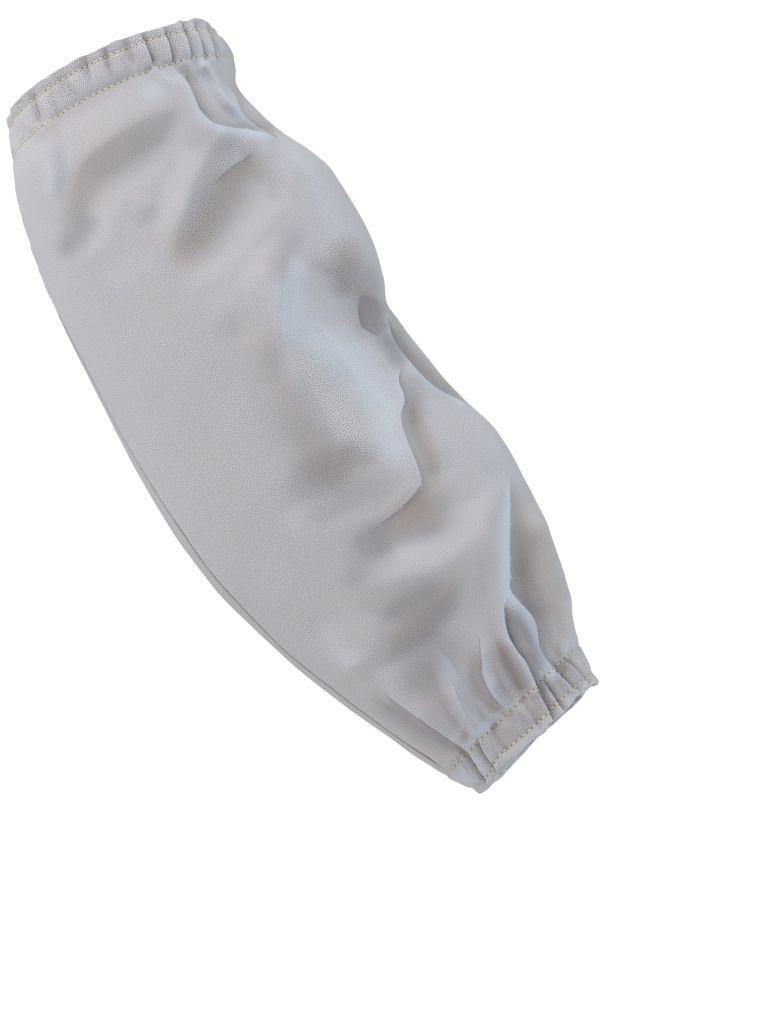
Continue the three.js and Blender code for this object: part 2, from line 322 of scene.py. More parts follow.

# Painted highlight: where light falls on lit faces and lips, the dye is painted paler and bluer. A row is
# like that of a fold without its sharp, and the height is how strong the tint is.
PAINTED_HIGHLIGHTS = [
    ("elbow facet",
     ((27, 120), (15, 133), (16, 151), (25, 179), (28, 201), (23, 219), (22, 244)),
     1, 17, 15, 0.12, 0.15),
    ("facet boundary", ((30, 115), (22, 123), (13, 134), (5, 145), (0, 155)), 0.75, 13, 1.5, 0.15, 0.25),
    ("crook bulge", ((54, 66), (59.5, 94), (54, 121), (41.5, 139)), 0.35, 13, 9, 0.1, 0.4),
    ("shelf edge", ((56, 64), (41.5, 52), (32, 44), (28, 31), (30, 14)), 0.4, 5, 4, 0.05, 0.3),
    ("shelf pleat", ((41.5, 9), (42, 31), (44, 49)), 1.2, 6, 6, 0.1, 0.1),
    ("long fold's lip",
     ((27, 361), (29, 343), (30.5, 319), (41, 296), (54, 276), (59, 270)),
     1.25, 2, 8, 0.1, 0.25),
    ("fork's lip", ((15, 366), (17, 344), (26.5, 318)), 0.6, 2, 5, 0.05, 0.3),
    ("front layer's edge", ((62.5, 229), (50, 194), (55.5, 165)), 0.8, 3, 1.5, 0.1, 0.05),
    ("front pleat", ((8, 321), (-3.5, 349), (-2.5, 366)), 0.35, 3, 2.5, 0.3, 0.1),
    ("middle pleat", ((-14, 321), (-13, 344), (-15, 370)), 0.75, 7, 8, 0.2, 0.05),
    ("wrist cuff, elbow side", ((-43, 377), (-37, 381), (-25, 382)), 0.9, 13, 13, 0.25, 0.15),
    ("wrist rim", ((-36, 389), (4, 384), (39, 378)), 0.3, 5, 5, 0.05, 0.05),
    ("side pleat", ((-35, 7), (-46, 17), (-60, 30)), 0.55, 9, 9, 0.2, 0.3),
    ("puff's crook end", ((5, 11), (20, 10), (29, 15)), 0.65, 8, 9, 0.3, 0.2),
    ("dent's brow", ((-31, 53), (-15, 52), (4, 48)), 0.4, 7, 7, 0.3, 0.3),
    ("elbow side under the dent", ((-61, 74), (-41, 79), (-23.5, 74)), 0.35, 13, 13, 0.3, 0.3),
    ("slanting valley's crook end", ((23, 78), (33, 73), (42, 68)), 0.35, 7, 7, 0.3, 0.3),
    ("swell above the long pleat", ((-55, 274), (-57, 294), (-51, 312)), 0.35, 10, 9, 0.3, 0.3),
    ("fork's foot", ((19.5, 356), (20, 368), (20, 379)), 0.5, 4, 4, 0.2, 0.2),
    ("rear lobe's foot", ((44, 314), (38, 328), (37, 350), (35, 363)), 0.6, 8, 8, 0.3, 0.1),
    ("pleats at the wrist casing", ((-30, 368), (-21, 369), (-10, 366)), 0.8, 5, 5, 0.2, 0.2),
    ("elbow side of the body", ((-71, 229), (-67, 249), (-63.5, 266)), 0.2, 16, 14, 0.3, 0.3),
    ("cuff's crook gathers", ((39, 4), (47, 8), (54, 14)), 0.5, 8, 9, 0.2, 0.1),
    ("wrist cuff's elbow corner", ((-33.5, 372), (-32.5, 381), (-32, 391)), 0.6, 4, 4, 0.1, 0.1),
]

# Painted shade: hollows and the places under folds and overlaps painted darker and browner, in the same way.
SHADED = [
    ("under the puff", ((-58.5, 46), (-33.5, 28), (-11, 25), (15, 23)), 0.6, 13, 13, 0.25, 0.25),
    ("under the shelf", ((45, 68), (24, 71), (4, 78), (-28.5, 91)), 1, 13, 12, 0.15, 0.2),
    ("left of the elbow crest", ((9, 125), (-7, 149), (-11, 194), (-6, 219)), 0.2, 6, 14, 0.2, 0.2),
    ("dent beside the crest", ((-29, 214), (-13, 217), (4, 219)), 0.6, 17, 13, 0.35, 0.35),
    ("pocket", ((42, 169), (48, 159), (54, 144)), 1, 9, 9, 0.1, 0.4),
    ("dark slope", ((56, 119), (49, 137), (44, 153)), 0.75, 13, 13, 0.2, 0.2),
    ("under the elbow overlap",
     ((-16, 262), (4, 259), (24, 255), (30, 239), (33, 221), (42, 204)),
     1, 13, 13, 0.25, 0.2),
    ("under the cross ridge", ((-43.5, 308), (-16, 305), (4, 299), (26.5, 295)), 0.7, 13, 13, 0.3, 0.3),
    ("behind the long fold", ((33, 361), (44, 329), (58, 289)), 1, 16, 14, 0.25, 0.15),
    ("wrist cuff", ((-21, 379), (-1, 376), (41.5, 368)), 0.4, 10, 10, 0.1, 0.05),
    ("wrist pocket", ((9.5, 332), (7.5, 361)), 0.5, 12, 12, 0.3, 0.1),
]

# Painted shade: places that lie in shade painted darker and greyer, in the same way.
PAINTED_SHADE_GREY = [
    ("above the pocket", ((55, 118), (50, 136), (47.5, 154), (46, 174)), 0.72, 18, 17, 0.35, 0.06),
    ("triangle under the shelf", ((44, 53), (28, 54), (9, 65), (-11, 78)), 0.4, 12, 10, 0.2, 0.4),
    ("above the elbow facet", ((43, 108), (26.5, 114), (10, 127)), 0.52, 10, 11, 0.3, 0.4),
    ("middle of the body",
     ((-21, 156), (-18.5, 204), (-18.5, 244), (-21, 274), (-18.5, 294), (-21, 326)),
     0.15, 22, 26, 0.15, 0.15),
    ("beside the long fold", ((34, 289), (44, 281), (56, 272)), 0.25, 6, 6, 0.3, 0.2),
    ("left of the elbow crest", ((6.5, 132), (-6, 154), (-11, 179), (-12, 211)), 0.34, 8, 20, 0.3, 0.25),
    ("dent beside the crest", ((-38, 213), (-15, 216), (8, 219)), 0.3, 24, 17, 0.4, 0.4),
    ("below the dent", ((-46, 230), (-29, 234), (-6, 236), (14, 230)), 0.42, 12, 11, 0.3, 0.3),
    ("fork strip", ((27, 321), (25, 339), (23, 363)), 0.6, 6, 6, 0.15, 0.3),
    ("front pleat", ((9, 331), (6.5, 344), (6, 365)), 0.48, 11, 11, 0.3, 0.1),
    ("wrist cuff", ((-20, 378), (4, 375), (40, 367)), 0.27, 10, 10, 0.1, 0.05),
    ("cuff gather", ((-3.5, -24), (-7, -16), (-11, -4)), 0.3, 4, 5, 0.1, 0.4),
    ("cuff gather", ((8.5, -23), (5, -15), (0, -2)), 0.34, 4, 5, 0.1, 0.4),
    ("cuff gather", ((18, -22), (15, -11), (11, 0)), 0.3, 4, 5, 0.1, 0.4),
    ("cuff gather", ((-36, -23), (-38, -13), (-42, -1)), 0.26, 4, 5, 0.1, 0.4),
    ("cuff gather", ((-21, -25), (-24, -13), (-26, -4)), 0.19, 4, 6, 0.1, 0.4),
    ("under the shelf", ((43, 67), (24, 71), (4, 78), (-23.5, 89)), 0.3, 12, 11, 0.15, 0.3),
    ("under the cross ridge", ((-48.5, 316), (-26, 314), (-6, 309), (16.5, 296)), 0.62, 18, 11, 0.3, 0.3),
    ("below the cross ridge", ((-46, 336), (-28.5, 328), (1.5, 320)), 0.56, 18, 18, 0.3, 0.3),
    ("above the cross ridge", ((-42, 271), (-23.5, 268), (-1, 267)), 0.42, 10, 11, 0.3, 0.3),
    ("below the pocket", ((45, 169), (46, 183), (45, 196)), 0.85, 9, 9, 0.1, 0.3),
    ("pocket", ((41, 170), (47, 162), (53, 154)), 0.9, 10, 10, 0.1, 0.2),
    ("beside the elbow overlap",
     ((49, 196), (44, 208), (36, 221), (31, 239), (26, 254)),
     0.38, 9, 8, 0.2, 0.2),
    ("left of the long pleat", ((-58, 319), (-48.5, 340), (-42, 355), (-34, 369)), 0.7, 3, 9, 0.3, 0.1),
    ("behind the long fold", ((33, 361), (34, 339), (40, 319), (56, 286)), 0.42, 13, 10, 0.25, 0.15),
    ("elbow side of the puff", ((-73.5, 55), (-57, 52), (-40, 44)), 0.62, 10, 10, 0.3, 0.3),
    ("beside the shelf edge", ((11.5, 46), (23, 42), (32, 47)), 0.38, 10, 10, 0.3, 0.3),
    ("cuff's lower stitch row", ((-52, 1), (-36, -2), (-16, -2), (14, -1)), 0.32, 7, 7, 0.15, 0.15),
    ("on the cross ridge", ((-38.5, 296), (-16, 294), (10, 292)), 0.46, 9, 8, 0.3, 0.3),
    ("left of the crest", ((-2, 161), (-4, 194), (-4, 210)), 0.3, 8, 9, 0.3, 0.2),
    ("lit crescent", ((-28.5, 255), (-8.5, 256), (1.5, 249)), 0.3, 9, 9, 0.3, 0.3),
    ("bulge low", ((35, 284), (46, 277), (58, 268)), 0.2, 6, 6, 0.3, 0.2),
    ("puff's foot", ((-16, 29), (4, 27), (19, 25)), 0.14, 7, 7, 0.3, 0.3),
    ("below the bulge", ((35, 91), (40, 83), (42, 76)), 0.16, 8, 8, 0.3, 0.3),
    ("dent", ((-32, 62), (-21, 60), (-11, 58)), 0.2, 7, 7, 0.4, 0.4),
    ("facet's foot", ((-5, 206), (5, 217), (12, 229)), 0.28, 10, 12, 0.35, 0.3),
    ("slope above the facet", ((32, 119), (39, 134), (41, 153)), 0.42, 9, 10, 0.3, 0.3),
    ("crook edge under the pocket",
     ((53.5, 171), (52.5, 186), (55.5, 206), (60.5, 225)),
     0.6, 7, 7, 0.1, 0.2),
    ("crook edge above the pocket", ((60, 139), (58, 150), (55.5, 159)), 0.3, 6, 7, 0.3, 0.3),
    ("under the shelf's end", ((33, 60), (40, 61), (46, 63)), 0.34, 6, 6, 0.3, 0.3),
    ("lower end of the elbow side", ((-40, 342), (-35, 352), (-29, 363)), 0.3, 9, 9, 0.3, 0.2),
    ("rear lobe's crook side", ((56, 294), (54, 314), (49, 339)), 0.26, 8, 8, 0.2, 0.2),
    ("valley behind the middle pleat", ((-25, 339), (-25, 351), (-25, 363)), 0.26, 6, 6, 0.3, 0.2),
    ("long fold's foot", ((26, 324), (24, 344), (25, 363)), 0.3, 5, 5, 0.2, 0.1),
    ("front pleat's foot", ((-1, 350), (-1, 365)), 0.45, 6, 6, 0.3, 0.1),
]

# Where the split shows coarse pebbles, in the same way.
PEBBLED = [
    ("elbow", ((1.5, 153), (8, 174), (6, 204), (-6, 219), (-21, 221)), 0.8, 17, 17, 0.2, 0.2),
    ("above the pocket", ((54, 118), (48, 139), (45, 153)), 1.1, 15, 16, 0.2, 0.2),
    ("under the shelf", ((48, 56), (26.5, 57), (4, 74), (-23.5, 89)), 0.8, 14, 12, 0.1, 0.3),
    ("upper cuff", ((-51, -10), (-26, -14), (-1, -15), (24, -9), (51.5, 1)), 0.8, 14, 14, 0.1, 0.1),
]

# Folds of the back, charted flat: across is the arc from the crook edge, and it is negative on the back.
# The last row is the upper end of the long seam, at the elbow edge, where the arc counts over the front.
BACK_FOLDS = [
    ("back hollow under the cuff", ((-60, 26), (-100, 29), (-140, 24)), -2.6, 13, 15, 0.1, 0.3, 0.3),
    ("back fold above the elbow", ((-14, 106), (-56, 120), (-116, 110)), -3.4, 12, 15, 0.2, 0.1, 0.5),
    ("back fold at the crook", ((-8, 165), (-46, 174), (-104, 190)), -5, 10, 14, 0.3, 0.1, 0.5),
    ("back fold below the elbow", ((-14, 212), (-52, 224), (-86, 222)), -3, 9, 12, 0.2, 0.15, 0.5),
    ("back cross fold", ((-8, 256), (-30, 264), (-84, 252)), -4, 10, 13, 0.3, 0.1, 0.5),
    ("back fold above the wrist", ((-50, 302), (-96, 312), (-150, 298)), -2.6, 13, 15, 0.1, 0.3, 0.3),
    ("long seam behind the elbow",
     ((193, 72), (198, 60), (203, 42), (206, 24), (207, 8)),
     1, 1.2, 6, 0.5, 0.1, 0.1),
]


def smoothstep(low, high, value):
    share = np.clip((value - low) / (high - low), 0, 1)
    return share * share * (3 - 2 * share)


def along(column, down):
    """A smooth curve through one column of the section table."""
    downs = SECTIONS[:, 0]
    values = SECTIONS[:, SECTION_COLUMNS.index(column)]
    before = np.maximum(np.arange(len(downs)) - 1, 0)
    after = np.minimum(np.arange(len(downs)) + 1, len(downs) - 1)
    tangents = (values[after] - values[before]) / (downs[after] - downs[before])
    i = np.clip(np.searchsorted(downs, down) - 1, 0, len(downs) - 2)
    span = downs[i + 1] - downs[i]
    t = (down - downs[i]) / span
    ends = (1 - t) ** 2 * (1 + 2 * t) * values[i] + t * t * (3 - 2 * t) * values[i + 1]
    return ends + span * t * (1 - t) * ((1 - t) * tangents[i] - t * tangents[i + 1])


def oval(down, angle):
    """The plain form with no folds, at distances down the sleeve and angles around it."""
    half = (along("right", down) - along("left", down)) / 2
    middle = (along("right", down) + along("left", down)) / 2
    deep = np.where(np.sin(angle) > 0, along("front", down), along("back", down))
    x = middle + half * np.cos(angle)
    y = -deep * np.sin(angle)
    z = -(down + along("slope", down) * x)
    return np.stack([x, y, z], -1)


def unit(vectors):
    return vectors / np.maximum(np.linalg.norm(vectors, axis=-1, keepdims=True), 1e-9)


def oval_directions(down, angle):
    """Unit vectors around the plain form, down it, and out of it."""
    around = unit(oval(down, angle - SMALL_TURN) - oval(down, angle + SMALL_TURN))
    downward = unit(oval(down + SMALL_STEP, angle) - oval(down - SMALL_STEP, angle))
    return around, downward, unit(np.cross(downward, around))


def out_of(grid):
    """Unit vectors out of a grid of places."""
    around = np.roll(grid, 1, 1) - np.roll(grid, -1, 1)
    return unit(np.cross(np.gradient(grid, axis=0), around))


def smooth_path(points):
    """A smooth curve through charted points, as closely spaced points."""
    knots = np.array(points, float)
    padded = np.concatenate([[2 * knots[0] - knots[1]], knots, [2 * knots[-1] - knots[-2]]])
    t = np.linspace(0, 1, PATH_STEPS, endpoint=False)[:, None]
    spans = []
    for a, b, c, d in zip(padded, padded[1:], padded[2:], padded[3:]):
        spans.append(b + t * (c - a) / 2 + t ** 2 * (a - 2.5 * b + 2 * c - d / 2)
                     + t ** 3 * (1.5 * (b - c) + (d - a) / 2))
    return np.concatenate(spans + [knots[-1:]])


def beside_path(flat, path, reach):
    """Places within reach of a path: which they are, how far they lie to its right hand, how far along
    it they are from 0 to 1, and which way its right hand is there."""
    index = np.flatnonzero(np.all((flat > path.min(0) - reach) & (flat < path.max(0) + reach), axis=1))
    runs = np.diff(path, axis=0)
    lengths = np.linalg.norm(runs, axis=1)
    headings = runs / lengths[:, None]
    offsets = flat[index][:, None] - path[:-1]
    ahead = np.clip((offsets * headings).sum(-1), 0, lengths)
    misses = offsets - ahead[..., None] * headings
    nearest = np.linalg.norm(misses, axis=-1).argmin(1)
    every = np.arange(len(index))
    right_hand = np.stack([-headings[nearest, 1], headings[nearest, 0]], -1)
    miss = misses[every, nearest]
    hand = np.where((miss * right_hand).sum(-1) >= 0, 1, -1)
    passed = np.concatenate([[0], np.cumsum(lengths)])
    travelled = (passed[nearest] + ahead[every, nearest]) / passed[-1]
    return index, hand * np.linalg.norm(miss, axis=-1), travelled, right_hand


def end_fade(t, fade_in, fade_out):
    """From 0 at both ends of a path to 1 along its middle."""
    return smoothstep(0, fade_in, t) * smoothstep(0, fade_out, 1 - t)


def drawn_to_edges(downs, angles, overlaps):
    """Distances down and angles around for each row and column, drawn in beside the overlaps so that
    their edges come out crisp."""
    down, angle = np.meshgrid(downs, angles, indexing="ij")
    chart = seen(oval(down, angle))
    flat = chart.reshape(-1, 2)
    shift = np.zeros_like(flat)
    for row in overlaps:
        path = smooth_path(row[1])
        index, distance, t, right_hand = beside_path(flat, path, EDGE_DRAW)
        near = EDGE_DRAW * np.minimum(np.abs(distance) / EDGE_DRAW, 1) ** EDGE_POWER
        drawn = np.where(distance >= 0, 1, -1) * np.maximum(near, EDGE_BLEND)
        share = np.where(np.abs(distance) < EDGE_DRAW, end_fade(t, EDGE_FADE, EDGE_FADE), 0)
        shift[index] += ((drawn - distance) * share)[:, None] * right_hand
    shift = shift.reshape(chart.shape)
    per_turn = (seen(oval(down, angle + SMALL_TURN)) - chart) / SMALL_TURN
    per_step = (seen(oval(down + SMALL_STEP, angle)) - chart) / SMALL_STEP
    spread = per_turn[..., 0] * per_step[..., 1] - per_turn[..., 1] * per_step[..., 0]
    shown = smoothstep(*EDGE_SPREADS, -spread)
    spread = np.where(shown > 0, spread, -1)
    turn = (shift[..., 0] * per_step[..., 1] - shift[..., 1] * per_step[..., 0]) / spread
    step = (per_turn[..., 0] * shift[..., 1] - per_turn[..., 1] * shift[..., 0]) / spread
    return down + shown * step, angle + shown * turn


def hump(q):
    return 1 - 3 * q ** 2 + 2 * q ** 3


def fold_field(chart, folds):
    """How far folds push each charted place out."""
    flat = chart.reshape(-1, 2)
    heights = np.zeros(len(flat))
    for _, path, height, left_width, right_width, sharp, fade_in, fade_out in folds:
        reach = max(left_width, right_width)
        index, distance, t, _ = beside_path(flat, smooth_path(path), reach)
        fade = end_fade(t, fade_in, fade_out)
        width = np.where(distance > 0, right_width, left_width) * (1 + fade) / 2
        q = np.minimum(np.abs(distance) / width, 1)
        heights[index] += height * fade * ((1 - sharp) * hump(q) + sharp * (1 - q) ** CREASE_POWER)
    return heights.reshape(chart.shape[:-1])


def overlap_field(chart, overlaps):
    """How far overlaps push each charted place out, by the upper layer's lip and the lower layer's drop, and
    how far the overhang drags it across and down. Then how strong the lip's painted highlight is, and the
    painted shadow on the lower layer."""
    flat = chart.reshape(-1, 2)
    heights = np.zeros(len(flat))
    drags = np.zeros((len(flat), 2))
    pales = np.zeros(len(flat))
    dims = np.zeros(len(flat))
    for row in overlaps:
        _, path, rise, rise_width, lip, roll, drop, drop_width, lean, pale, dim, fade_in, fade_out = row
        reach = max(rise_width, drop_width)
        index, distance, t, right_hand = beside_path(flat, smooth_path(path), reach)
        inside = np.maximum(-distance, 0)
        near_lip = np.clip(1 - inside / (2 * lip), 0, 1)
        near_drop = 1 - np.clip(distance / drop_width, 0, 1)
        upper = rise * hump(np.minimum(inside / rise_width, 1))
        upper -= roll * np.clip(1 - inside / lip, 0, 1) ** 2
        over = smoothstep(EDGE_BLEND, -EDGE_BLEND, distance)
        fade = end_fade(t, fade_in, fade_out)
        heights[index] += fade * (over * upper - (1 - over) * drop * near_drop ** 2)
        drags[index] += (lean * fade * over * near_lip)[:, None] * right_hand
        # Painted highlight along the lip, and painted shadow of the upper layer on the lower layer beside
        # the edge.
        pales[index] += pale * fade * over * near_lip ** PALE_POWER
        dims[index] += dim * fade * (1 - over) * near_drop ** DIM_POWER
    shape = chart.shape[:-1]
    return heights.reshape(shape), drags.reshape(chart.shape), pales.reshape(shape), dims.reshape(shape)


def cloud(points, size, seed):
    """Smooth noise between -1 and 1, with lumps of about one size in millimetres."""
    shift = CLOUD_SHIFT * seed
    values = [noise.noise(Vector(point) / size + shift) for point in points.reshape(-1, 3)]
    return np.array(values).reshape(points.shape[:-1])


def column_angles():
    """Angles of the columns, at even steps of arc in each stretch of the column table."""
    stretches = []
    for start, end, count in COLUMN_STRETCHES:
        fine = np.radians(np.linspace(start, end, ARC_SAMPLES))
        arc = np.hypot(TYPICAL_HALF_WIDTH * np.sin(fine), TYPICAL_DEPTH * np.cos(fine))
        length = np.concatenate([[0], np.cumsum((arc[1:] + arc[:-1]) / 2)])
        stretches.append(np.interp(np.arange(count) / count, length / length[-1], fine))
    return np.concatenate(stretches)


BACK_PLEATS_SEED = 11
BACK_PLEATS_FROM = -6.0
BACK_PLEATS_TO = -190.0
BACK_PLEAT_RIM = 14.0
BACK_PLEAT_LEAST = 18
BACK_PLEAT_RUNS = (6, 26)
BACK_PLEAT_SWAYS = (-3, 3)
BACK_PLEAT_DEPTHS = (1.2, 2.2)
BACK_PLEAT_WIDTHS = (2.6, 4.2)
BACK_PLEAT_STEPS = (9, 16)


def back_pleats():
    """Gathers of both cuffs on the back, which run into the sleeve at uneven steps."""
    pick = np.random.default_rng(BACK_PLEATS_SEED)
    rows = []
    for rim, into in ((-BACK_PLEAT_RIM, 1), (WRIST_DOWN + BACK_PLEAT_RIM, -1)):
        across = BACK_PLEATS_FROM
        while across > BACK_PLEATS_TO:
            length = BACK_PLEAT_LEAST + pick.uniform(*BACK_PLEAT_RUNS)
            sway = pick.uniform(*BACK_PLEAT_SWAYS)
            depth = -pick.uniform(*BACK_PLEAT_DEPTHS)
            width = pick.uniform(*BACK_PLEAT_WIDTHS)
            end = rim + into * length
            path = ((across, rim), (across + sway / 3, (rim + end) / 2), (across + sway, end))
            rows.append(("back pleat", path, depth, width, width, 0.6, 0.1, 0.4))
            across -= pick.uniform(*BACK_PLEAT_STEPS)
    return rows


def row_downs():
    """Distances down of the rows of frills, casings and body."""
    stops = np.array([-RIM_REACH, -CASING_HALF, CASING_HALF])
    stops = np.concatenate([stops, WRIST_DOWN - stops[::-1]])
    counts = (FRILL_ROWS, CASING_ROWS, BODY_ROWS, CASING_ROWS, FRILL_ROWS)
    rows = [np.linspace(a, b, count, endpoint=False) for a, b, count in zip(stops, stops[1:], counts)]
    return np.concatenate(rows + [stops[-1:]])


def casing_relief(downs):
    """Lift of the casings, their puff between the two stitch rows, the pinch of each row, and the flare of
    the frills. Then how far out in a frill each row lies, from 0 to 1."""
    relief = np.zeros_like(downs)
    for middle in (0, WRIST_DOWN):
        reach = np.abs(downs - middle)
        relief += CASING_LIFT * smoothstep(CASING_HALF + CASING_LIFT_REACH, CASING_HALF, reach)
        relief += CASING_PUFF * np.clip(1 - (reach / CASING_HALF) ** 2, 0, 1)
        relief -= STITCH_PINCH * np.exp(-((reach - CASING_HALF) / STITCH_PINCH_REACH) ** 2)
    past = np.maximum(-CASING_HALF - downs, downs - WRIST_DOWN - CASING_HALF)
    frill = np.clip(past / FRILL, 0, 1)
    return relief + FRILL_FLARE * frill ** FLARE_POWER, frill


leather_downs = row_downs()
leather_angles = column_angles()
down_grid, angle_grid = drawn_to_edges(leather_downs, leather_angles, OVERLAPS)
plain = oval(down_grid, angle_grid)
around, downward, outward = oval_directions(down_grid, angle_grid)
toward = unit(VIEW_CENTRE - VIEW_DISTANCE * look - plain)
facing = (outward * toward).sum(-1)
front_share = smoothstep(*FRONT_FACING, facing)
overlap_share = smoothstep(*OVERLAP_FACING, facing)
back_share = smoothstep(*BACK_FACING, facing)
front_chart = seen(plain)
fold_height = fold_field(front_chart, FRONT_FOLDS)
overlap_height, overlap_drag, lip_painted_highlight, drop_painted_shadow = overlap_field(front_chart, OVERLAPS)
signed_angles = np.where(angle_grid > CHART_TURN, angle_grid - 2 * math.pi, angle_grid)
back_chart = np.stack([signed_angles * CHART_RADIUS, down_grid], -1)
back_height = fold_field(back_chart, BACK_FOLDS + back_pleats())


def streaks(shortening, size, seed):
    """Noise drawn out along the sleeve."""
    return cloud(plain * np.array([1, 1, shortening]), size, seed)


casing_height, frill_share = casing_relief(leather_downs)
height = back_share * back_height + casing_height[:, None]
for lump_height, lump_size, lump_seed in LUMPS:
    height += lump_height * cloud(plain, lump_size, lump_seed)
gather_share = np.exp(-np.maximum(leather_downs - CASING_HALF, 0) / UPPER_GATHER_REACH)
gather_share += np.exp(-np.maximum(WRIST_DOWN - CASING_HALF - leather_downs, 0) / WRIST_GATHER_REACH)
height += GATHERS * gather_share[:, None] * streaks(shortening=0.18, size=5.5, seed=4)
height += RUFFLE * frill_share[:, None] * streaks(shortening=0.1, size=9, seed=5)
drag = overlap_share[..., None] * overlap_drag
outer = plain + outward * height[..., None]
outer += unit(outward + FOLD_TOWARD * toward) * (front_share * fold_height)[..., None]
outer += unit(outward + OVERLAP_TOWARD * toward) * (overlap_share * overlap_height)[..., None]
outer += around * drag[..., :1] + downward * drag[..., 1:]
rim_wave = RIM_WAVE * frill_share[:, None] * streaks(shortening=0.1, size=14, seed=6)
cuff_sag = UPPER_RISE * smoothstep(UPPER_RISE_REACH, 0, down_grid)
rim_drop = np.interp(front_chart[..., 0], *np.transpose(WRIST_RIM_DROPS))
rim_drop *= smoothstep(*WRIST_RIM_ROWS, down_grid)
outer[..., 2] += rim_wave + (cuff_sag - rim_drop) * front_share * np.maximum(np.sin(angle_grid), 0)


def tint(tints):
    """How strong tints of the front are at each place. They are spread like folds that have no crease."""
    return front_share * fold_field(front_chart, [(*row[:5], 0, *row[5:]) for row in tints])


casing_reach = np.minimum(np.abs(down_grid), np.abs(down_grid - WRIST_DOWN))
casing_share = smoothstep(*CUFF_STREAKS_EDGES, casing_reach)
# Painted highlight on lit faces and on the overlaps' lips.
painted_highlight = tint(PAINTED_HIGHLIGHTS) + overlap_share * lip_painted_highlight
# Painted brown shade in hollows and on the lower layers beside the overlaps.
shaded = tint(SHADED) + overlap_share * drop_painted_shadow
# Painted grey shade where shade falls, with part of the overlaps' painted shadow.
painted_shade_grey = tint(PAINTED_SHADE_GREY) + overlap_share * DIM_PAINTED_SHADE_GREY * drop_painted_shadow
# Dark streaks at random on the casings, painted as the shade of their fine gathers.
painted_shade_grey += CUFF_STREAKS * casing_share * np.clip(streaks(shortening=0.3, size=4, seed=7), 0, 1)
pebbled = tint(PEBBLED)


def blur(grid, rows, columns):
    """The grid with its fine relief averaged away, for the layers that lie under it."""
    result = grid.copy()
    for _ in range(rows):
        padded = np.concatenate([result[:1], result, result[-1:]])
        result = (padded[:-2] + 2 * padded[1:-1] + padded[2:]) / 4
    for _ in range(columns):
        result = (np.roll(result, 1, 1) + 2 * result + np.roll(result, -1, 1)) / 4
    return result


def layer_rows(form, places, seamed=0.0):
    """Rings under a form. places are (distance down, depth) pairs, and seamed adds the seam's strip."""
    out = out_of(blur(form, 1, SOFT_PASSES))
    arc = np.abs(leather_angles - SEAM_ANGLE) * CHART_RADIUS
    strip = seamed * smoothstep(SEAM_ALLOWANCE_REACH, SEAM_ALLOWANCE_REACH - SEAM_ALLOWANCE_BEVEL, arc)
    rings = []
    for down, depth in places:
        i = np.clip(np.searchsorted(leather_downs, down), 1, len(leather_downs) - 1)
        t = (down - leather_downs[i - 1]) / (leather_downs[i] - leather_downs[i - 1])
        ring = form[i - 1] * (1 - t) + form[i] * t
        rings.append(ring - (depth + strip)[:, None] * (out[i - 1] * (1 - t) + out[i] * t))
    return rings


# Rings of a turned-in end: whether they follow the crisp or the soft outside, how far they lie from the
# casing's middle towards the rim, and how deep. The shown ones run down the inside to the raw edge, and the
# hidden ones line the channel between the hem and the panel.
soft = blur(outer, 1, SOFT_PASSES)
HEM_SHOWN = (
    (outer, RIM_REACH + 0.6, 1.5), (outer, RIM_REACH, 2.8), (outer, RIM_REACH - 2, 3.1),
    (soft, CASING_HALF, 5.4), (soft, CASING_HALF - 0.6, 8.8), (soft, 0, 9.4),
    (soft, 0.6 - CASING_HALF, 9), (soft, -CASING_HALF, 6), (soft, -HEM_REACH, 3.9),
)
HEM_HIDDEN = (
    (soft, -HEM_REACH, 2.4), (soft, -CASING_HALF, 2.6), (soft, 2 - CASING_HALF, 3.9),
    (soft, CASING_HALF - 2, 3.9), (soft, CASING_HALF, 2.2), (outer, RIM_REACH - 1.5, 1.5),
    (outer, CASING_HALF, LEATHER_THICK), (soft, -CASING_HALF, 1.6),
)


def hem_rings(rings, middle, towards_rim):
    return [layer_rows(form, [(middle + towards_rim * reach, depth)])[0] for form, reach, depth in rings]


upper_shown = hem_rings(HEM_SHOWN, 0, -1)
upper_hidden = hem_rings(HEM_HIDDEN, 0, -1)
wrist_shown = hem_rings(HEM_SHOWN, WRIST_DOWN, 1)
wrist_hidden = hem_rings(HEM_HIDDEN, WRIST_DOWN, 1)
body_rows = (leather_downs > HEM_REACH) & (leather_downs < WRIST_DOWN - HEM_REACH)
inner_places = [(down, LEATHER_THICK) for down in leather_downs[body_rows][::INNER_BODY_STEP]]
inside = layer_rows(blur(outer, 2, 3), inner_places, SEAM_ALLOWANCE)
fine_rings = upper_shown[::-1] + list(outer) + wrist_shown
coarse_rings = [ring[::2] for ring in wrist_hidden + inside[::-1] + upper_hidden[::-1]]

vertices = np.concatenate(fine_rings + coarse_rings) * MM
fine_count = len(leather_angles)
coarse_count = fine_count // 2
coarse_start = len(fine_rings) * fine_count
faces = []


def band(first, second, count):
    """Quads between two rings of the same count, given by their first vertices."""
    for i in range(count):
        j = (i + 1) % count
        faces.append((first + i, first + j, second + j, second + i))


def half_band(fine, coarse, turned):
    """Faces between a fine ring and a ring of half its count."""
    for i in range(coarse_count):
        j = (i + 1) % coarse_count
        a, b, c = fine + 2 * i, fine + 2 * i + 1, fine + 2 * j
        new = [(a, b, coarse + i), (b, c, coarse + j), (b, coarse + j, coarse + i)]
        faces.extend([face[::-1] for face in new] if turned else new)


for k in range(len(fine_rings) - 1):
    band(k * fine_count, (k + 1) * fine_count, fine_count)
for k in range(len(coarse_rings) - 1):
    band(coarse_start + k * coarse_count, coarse_start + (k + 1) * coarse_count, coarse_count)
half_band((len(fine_rings) - 1) * fine_count, coarse_start, False)
half_band(0, coarse_start + (len(coarse_rings) - 1) * coarse_count, True)

